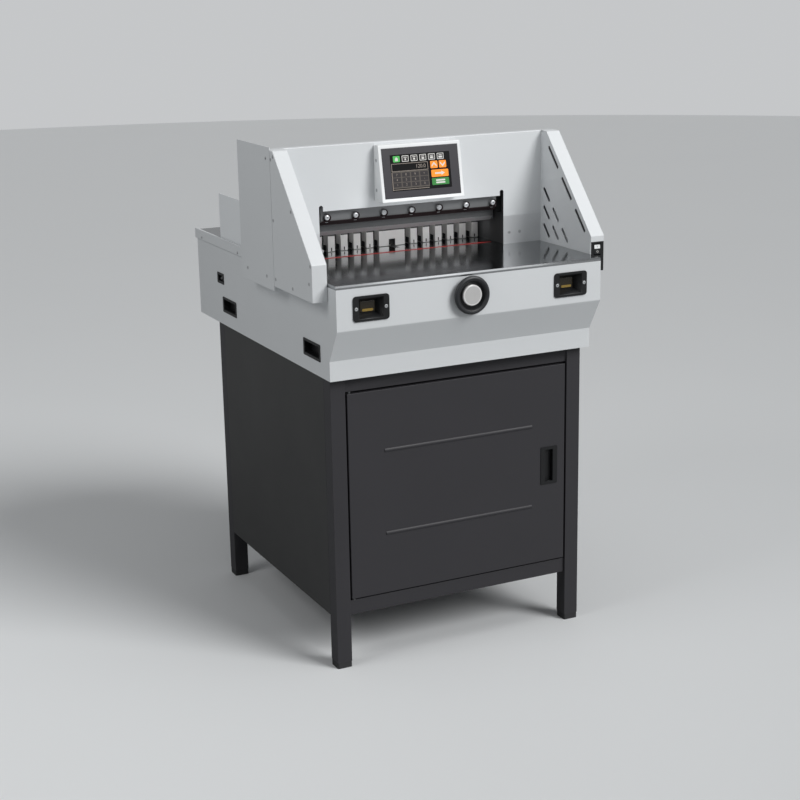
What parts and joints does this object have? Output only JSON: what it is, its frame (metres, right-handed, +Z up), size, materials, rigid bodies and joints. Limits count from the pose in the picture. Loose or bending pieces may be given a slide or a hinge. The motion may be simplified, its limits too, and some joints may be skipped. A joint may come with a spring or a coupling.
{
  "type": "electric paper cutter",
  "caption": "Programmable electric paper guillotine with steel table, light-guarded throat, tilted touch panel and back gauge, on a dark cabinet stand with a hinged door.",
  "frame": {"origin": "on the floor, under the middle of the overall box", "axes": "+X to the operator's right, +Y to the rear, +Z up; the operator stands on the -Y side"},
  "size_m": [0.814, 0.996, 1.306],
  "materials": {
    "light_paint": "semi-gloss light grey powder coat",
    "dark_paint": "fine-textured anthracite powder coat",
    "black_rubber": "matt",
    "black_plastic": "moulded satin",
    "white_plastic": "satin",
    "screen_plastic": "printed overlay around a display",
    "amber_plastic": "translucent amber",
    "red_plastic": "plain",
    "table_steel": "ground and polished",
    "blade_steel": "ground",
    "bright_steel": "bright turned",
    "grey_casting": "machined casting",
    "gauge_aluminium": "milled and anodised",
    "cap_aluminium": "turned",
    "nut_brass": "turned",
    "motor_paint": "plain paint"
  },
  "bodies": {
    "frame": {"stand_frame": "dark_paint", "stand_side_panels": "dark_paint", "stand_back_panel": "dark_paint", "stand_floor": "dark_paint", "foot_caps": "black_rubber", "door_hinge_pins": "bright_steel", "door_catch": "black_plastic", "bottom_pan": "light_paint", "front_panel": "light_paint", "left_body_panel": "light_paint", "right_body_panel": "light_paint", "rear_body_panel": "light_paint", "carry_handles": "black_plastic", "power_inlet": "black_plastic", "rear_table_strips": "light_paint", "table_plate": "table_steel", "cutting_stick": "red_plastic", "splash_plates": "table_steel", "bed_casting": "grey_casting", "side_columns": "grey_casting", "cross_beam": "grey_casting", "front_sheet": "light_paint", "left_wing_shell": "light_paint", "right_wing_shell": "light_paint", "wing_plates": "light_paint", "light_guard_bars": "black_plastic", "drive_housing": "light_paint", "right_rear_cover": "light_paint", "head_cover": "light_paint", "rear_side_guides": "light_paint", "switch_box": "black_plastic", "control_box": "white_plastic", "touch_panel": "screen_plastic", "button_bezels": "black_plastic", "screw_bearings": "grey_casting", "knife_belt": "black_rubber", "knife_gear_motor": "motor_paint", "clamp_motor": "motor_paint", "gauge_rods": "bright_steel", "gauge_motor": "black_plastic"},
    "door": {"cabinet_door": "dark_paint", "door_pull": "black_plastic"},
    "knife": {"knife_beam": "grey_casting", "knife_blade": "blade_steel", "blade_bolts": "bright_steel"},
    "left_screw": {"left_knife_screw": "bright_steel"},
    "right_screw": {"right_knife_screw": "bright_steel"},
    "clamp": {"clamp_beam": "grey_casting", "clamp_rods": "bright_steel", "clamp_screw": "bright_steel"},
    "clamp_nut": {"clamp_drive_nut": "nut_brass"},
    "gauge": {"back_gauge": "gauge_aluminium", "gauge_carriage": "gauge_aluminium"},
    "gauge_screw": {"lead_screw": "bright_steel", "handwheel": "black_plastic", "handwheel_cap": "cap_aluminium"},
    "left_button": {"left_cut_button": "amber_plastic"},
    "right_button": {"right_cut_button": "amber_plastic"},
    "switch": {"main_switch": "black_plastic"}
  },
  "joints": [
    {"name": "door_hinge", "type": "hinge", "parent": "frame", "child": "door", "pos_m": [-0.303, -0.393, 0.45], "axis": [0, 0, -1], "range_deg": [0, 110]},
    {"name": "knife_slide", "type": "slide", "parent": "frame", "child": "knife", "axis": [0, 0, -1], "range_m": [0, 0.0605]},
    {"name": "left_screw_turn", "type": "hinge", "parent": "frame", "child": "left_screw", "pos_m": [-0.335, -0.15, 1], "axis": [0, 0, 1], "range_deg": [0, 1090]},
    {"name": "right_screw_turn", "type": "hinge", "parent": "frame", "child": "right_screw", "pos_m": [0.313, -0.15, 1], "axis": [0, 0, 1], "range_deg": [0, 1090]},
    {"name": "clamp_slide", "type": "slide", "parent": "frame", "child": "clamp", "axis": [0, 0, -1], "range_m": [0, 0.06]},
    {"name": "clamp_nut_turn", "type": "hinge", "parent": "frame", "child": "clamp_nut", "pos_m": [-0.011, -0.1145, 1.2], "axis": [0, 0, 1], "range_deg": [0, 2161]},
    {"name": "gauge_slide", "type": "slide", "parent": "frame", "child": "gauge", "axis": [0, 1, 0], "range_m": [-0.046, 0.404]},
    {"name": "gauge_screw_turn", "type": "hinge", "parent": "frame", "child": "gauge_screw", "pos_m": [-0.011, 0, 0.951], "axis": [0, 1, 0], "range_deg": [-1657, 14545]},
    {"name": "left_button_press", "type": "slide", "parent": "frame", "child": "left_button", "axis": [0, 1, 0], "range_m": [0, 0.004], "stiffness_N_per_m": 400},
    {"name": "right_button_press", "type": "slide", "parent": "frame", "child": "right_button", "axis": [0, 1, 0], "range_m": [0, 0.004], "stiffness_N_per_m": 400},
    {"name": "main_switch_rock", "type": "hinge", "parent": "frame", "child": "switch", "pos_m": [0.3875, -0.426, 1.017], "axis": [1, 0, 0], "range_deg": [0, 16]}
  ],
  "couplings": [
    {"joint": "left_screw_turn", "follows": "knife_slide", "rad_per_m": 314.16},
    {"joint": "right_screw_turn", "follows": "knife_slide", "rad_per_m": 314.16},
    {"joint": "clamp_nut_turn", "follows": "clamp_slide", "rad_per_m": 628.32},
    {"joint": "gauge_screw_turn", "follows": "gauge_slide", "rad_per_m": 628.32}
  ]
}
